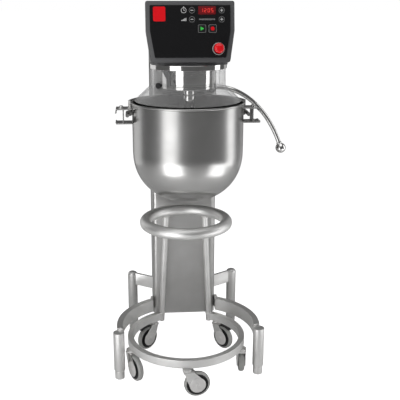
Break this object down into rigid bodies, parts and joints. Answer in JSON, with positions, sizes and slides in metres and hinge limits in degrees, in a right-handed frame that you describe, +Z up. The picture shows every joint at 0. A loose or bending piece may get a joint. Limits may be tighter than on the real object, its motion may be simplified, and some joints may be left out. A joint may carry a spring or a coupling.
{
  "type": "commercial stand mixer",
  "caption": "Floor-standing planetary mixer with a raised steel bowl, clear splash guard, hand lift lever, four-legged base and a wheeled bowl trolley under the bowl.",
  "frame": {"origin": "on the floor, under the middle of the outline of the whole machine with its trolley rolled in", "axes": "+Z up, -Y towards the operator in front of the bowl, +X to the right as the operator sees it"},
  "size_m": [0.7875, 0.8635, 1.5978],
  "materials": {
    "satin_steel": "satin",
    "brushed_steel": "circular brushed",
    "polished_steel": "polished",
    "dark_paint": "satin",
    "panel_black": "gloss",
    "red_plastic": "gloss",
    "key_black": "satin",
    "clear_plastic": "clear",
    "grey_tyre": "matte",
    "castings": "raw",
    "belt_rubber": "matte"
  },
  "bodies": {
    "machine": {"badge": "red_plastic", "bearing_housing": "castings", "cable_gland": "key_black", "column_back_cover": "satin_steel", "column_shell": "satin_steel", "control_housing": "dark_paint", "control_panel": "panel_black", "display_window": "red_plastic", "drive_belt": "belt_rubber", "front_leg_left": "satin_steel", "front_leg_right": "satin_steel", "guard_hanger": "dark_paint", "guard_rear": "clear_plastic", "guard_ring": "polished_steel", "head_base_plate": "dark_paint", "head_hood": "satin_steel", "motor": "castings", "rear_leg_left": "satin_steel", "rear_leg_right": "satin_steel", "ring_gear": "castings", "side_rail_left": "satin_steel", "side_rail_right": "satin_steel"},
    "drum": {"planet_drum": "polished_steel", "main_shaft": "satin_steel", "main_pulley": "castings"},
    "tool": {"beater_shaft": "polished_steel", "planet_gear": "castings", "beater": "satin_steel"},
    "rotor": {"motor_pulley": "castings"},
    "guard": {"guard_front": "clear_plastic", "guard_knob": "key_black"},
    "lift": {"lift_carriage": "castings", "bowl_arm_left": "satin_steel", "bowl_arm_right": "satin_steel", "bowl": "brushed_steel", "bowl_bracket_left": "satin_steel", "bowl_bracket_right": "satin_steel"},
    "lever": {"lift_lever": "polished_steel", "lever_ball": "polished_steel"},
    "trolley": {"lower_ring": "satin_steel", "upright_left": "satin_steel", "upright_right": "satin_steel", "support_ring": "satin_steel"},
    "timer_minus_key": {"timer_minus": "key_black"},
    "timer_plus_key": {"timer_plus": "key_black"},
    "speed_minus_key": {"speed_minus": "key_black"},
    "speed_plus_key": {"speed_plus": "key_black"},
    "start_button_key": {"start_button": "key_black"},
    "stop_button_key": {"stop_button": "key_black"},
    "emergency_stop_button_key": {"emergency_stop_button": "red_plastic"},
    "swivel_front": {"caster_fork_front": "polished_steel"},
    "wheel_front": {"caster_wheel_front": "grey_tyre"},
    "swivel_right": {"caster_fork_right": "polished_steel"},
    "wheel_right": {"caster_wheel_right": "grey_tyre"},
    "swivel_rear_right": {"caster_fork_rear_right": "polished_steel"},
    "wheel_rear_right": {"caster_wheel_rear_right": "grey_tyre"},
    "swivel_rear_left": {"caster_fork_rear_left": "polished_steel"},
    "wheel_rear_left": {"caster_wheel_rear_left": "grey_tyre"},
    "swivel_left": {"caster_fork_left": "polished_steel"},
    "wheel_left": {"caster_wheel_left": "grey_tyre"}
  },
  "joints": [
    {"name": "drum_spin", "type": "hinge", "parent": "machine", "child": "drum", "pos_m": [-0.064, -0.158, 1.3], "axis": [0, 0, 1], "continuous": true},
    {"name": "tool_spin", "type": "hinge", "parent": "drum", "child": "tool", "pos_m": [-0.064, -0.218, 1.3], "axis": [0, 0, 1], "continuous": true},
    {"name": "rotor_spin", "type": "hinge", "parent": "machine", "child": "rotor", "pos_m": [-0.064, 0.262, 1.4], "axis": [0, 0, 1], "continuous": true},
    {"name": "guard_turn", "type": "hinge", "parent": "machine", "child": "guard", "pos_m": [-0.064, -0.158, 1.3], "axis": [0, 0, 1], "range_deg": [-110, 0]},
    {"name": "bowl_lift", "type": "slide", "parent": "machine", "child": "lift", "axis": [0, 0, 1], "range_m": [-0.11, 0]},
    {"name": "lever_turn", "type": "hinge", "parent": "machine", "child": "lever", "pos_m": [0.054, 0.057, 1.232], "axis": [0, 1, 0], "range_deg": [-50.5, 0]},
    {"name": "timer_minus_press", "type": "slide", "parent": "machine", "child": "timer_minus_key", "axis": [0, -0.9839, 0.1788], "range_m": [-0.002, 0], "stiffness_N_per_m": 300, "springref_m": 0.001},
    {"name": "timer_plus_press", "type": "slide", "parent": "machine", "child": "timer_plus_key", "axis": [0, -0.9839, 0.1788], "range_m": [-0.002, 0], "stiffness_N_per_m": 300, "springref_m": 0.001},
    {"name": "speed_minus_press", "type": "slide", "parent": "machine", "child": "speed_minus_key", "axis": [0, -0.9839, 0.1788], "range_m": [-0.002, 0], "stiffness_N_per_m": 300, "springref_m": 0.001},
    {"name": "speed_plus_press", "type": "slide", "parent": "machine", "child": "speed_plus_key", "axis": [0, -0.9839, 0.1788], "range_m": [-0.002, 0], "stiffness_N_per_m": 300, "springref_m": 0.001},
    {"name": "start_button_press", "type": "slide", "parent": "machine", "child": "start_button_key", "axis": [0, -0.9839, 0.1788], "range_m": [-0.002, 0], "stiffness_N_per_m": 300, "springref_m": 0.001},
    {"name": "stop_button_press", "type": "slide", "parent": "machine", "child": "stop_button_key", "axis": [0, -0.9839, 0.1788], "range_m": [-0.002, 0], "stiffness_N_per_m": 300, "springref_m": 0.001},
    {"name": "emergency_stop_button_press", "type": "slide", "parent": "machine", "child": "emergency_stop_button_key", "axis": [0, -0.9839, 0.1788], "range_m": [-0.004, 0], "stiffness_N_per_m": 500, "springref_m": 0.001},
    {"name": "trolley_roll", "type": "slide", "parent": "machine", "child": "trolley", "axis": [0, -1, 0], "range_m": [0, 0.9]},
    {"name": "swivel_front_turn", "type": "hinge", "parent": "trolley", "child": "swivel_front", "pos_m": [-0.0854, -0.41165, 0.115], "axis": [0, 0, 1], "continuous": true},
    {"name": "wheel_front_spin", "type": "hinge", "parent": "swivel_front", "child": "wheel_front", "pos_m": [-0.04381, -0.4058, 0.0555], "axis": [-0.1392, 0.9903, 0], "continuous": true},
    {"name": "swivel_right_turn", "type": "hinge", "parent": "trolley", "child": "swivel_right", "pos_m": [0.167, -0.24774, 0.115], "axis": [0, 0, 1], "range_deg": [-36, 225]},
    {"name": "wheel_right_spin", "type": "hinge", "parent": "swivel_right", "child": "wheel_right", "pos_m": [0.17066, -0.2059, 0.0555], "axis": [-0.9962, 0.0872, 0], "continuous": true},
    {"name": "swivel_rear_right_turn", "type": "hinge", "parent": "trolley", "child": "swivel_rear_right", "pos_m": [0.08911, 0.04295, 0.115], "axis": [0, 0, 1], "continuous": true},
    {"name": "wheel_rear_right_spin", "type": "hinge", "parent": "swivel_rear_right", "child": "wheel_rear_right", "pos_m": [0.1161, 0.01078, 0.0555], "axis": [0.766, 0.6428, 0], "continuous": true},
    {"name": "swivel_rear_left_turn", "type": "hinge", "parent": "trolley", "child": "swivel_rear_left", "pos_m": [-0.21143, 0.0587, 0.115], "axis": [0, 0, 1], "continuous": true},
    {"name": "wheel_rear_left_spin", "type": "hinge", "parent": "swivel_rear_left", "child": "wheel_rear_left", "pos_m": [-0.24264, 0.0306, 0.0555], "axis": [0.6691, -0.7431, 0], "continuous": true},
    {"name": "swivel_left_turn", "type": "hinge", "parent": "trolley", "child": "swivel_left", "pos_m": [-0.31928, -0.22226, 0.115], "axis": [0, 0, 1], "range_deg": [-38, 180]},
    {"name": "wheel_left_spin", "type": "hinge", "parent": "swivel_left", "child": "wheel_left", "pos_m": [-0.29956, -0.25934, 0.0555], "axis": [0.8829, 0.4695, 0], "continuous": true}
  ],
  "couplings": [
    {"joint": "tool_spin", "follows": "drum_spin", "ratio": -3},
    {"joint": "rotor_spin", "follows": "drum_spin", "ratio": 3},
    {"joint": "lever_turn", "follows": "bowl_lift", "rad_per_m": 7.9333}
  ]
}
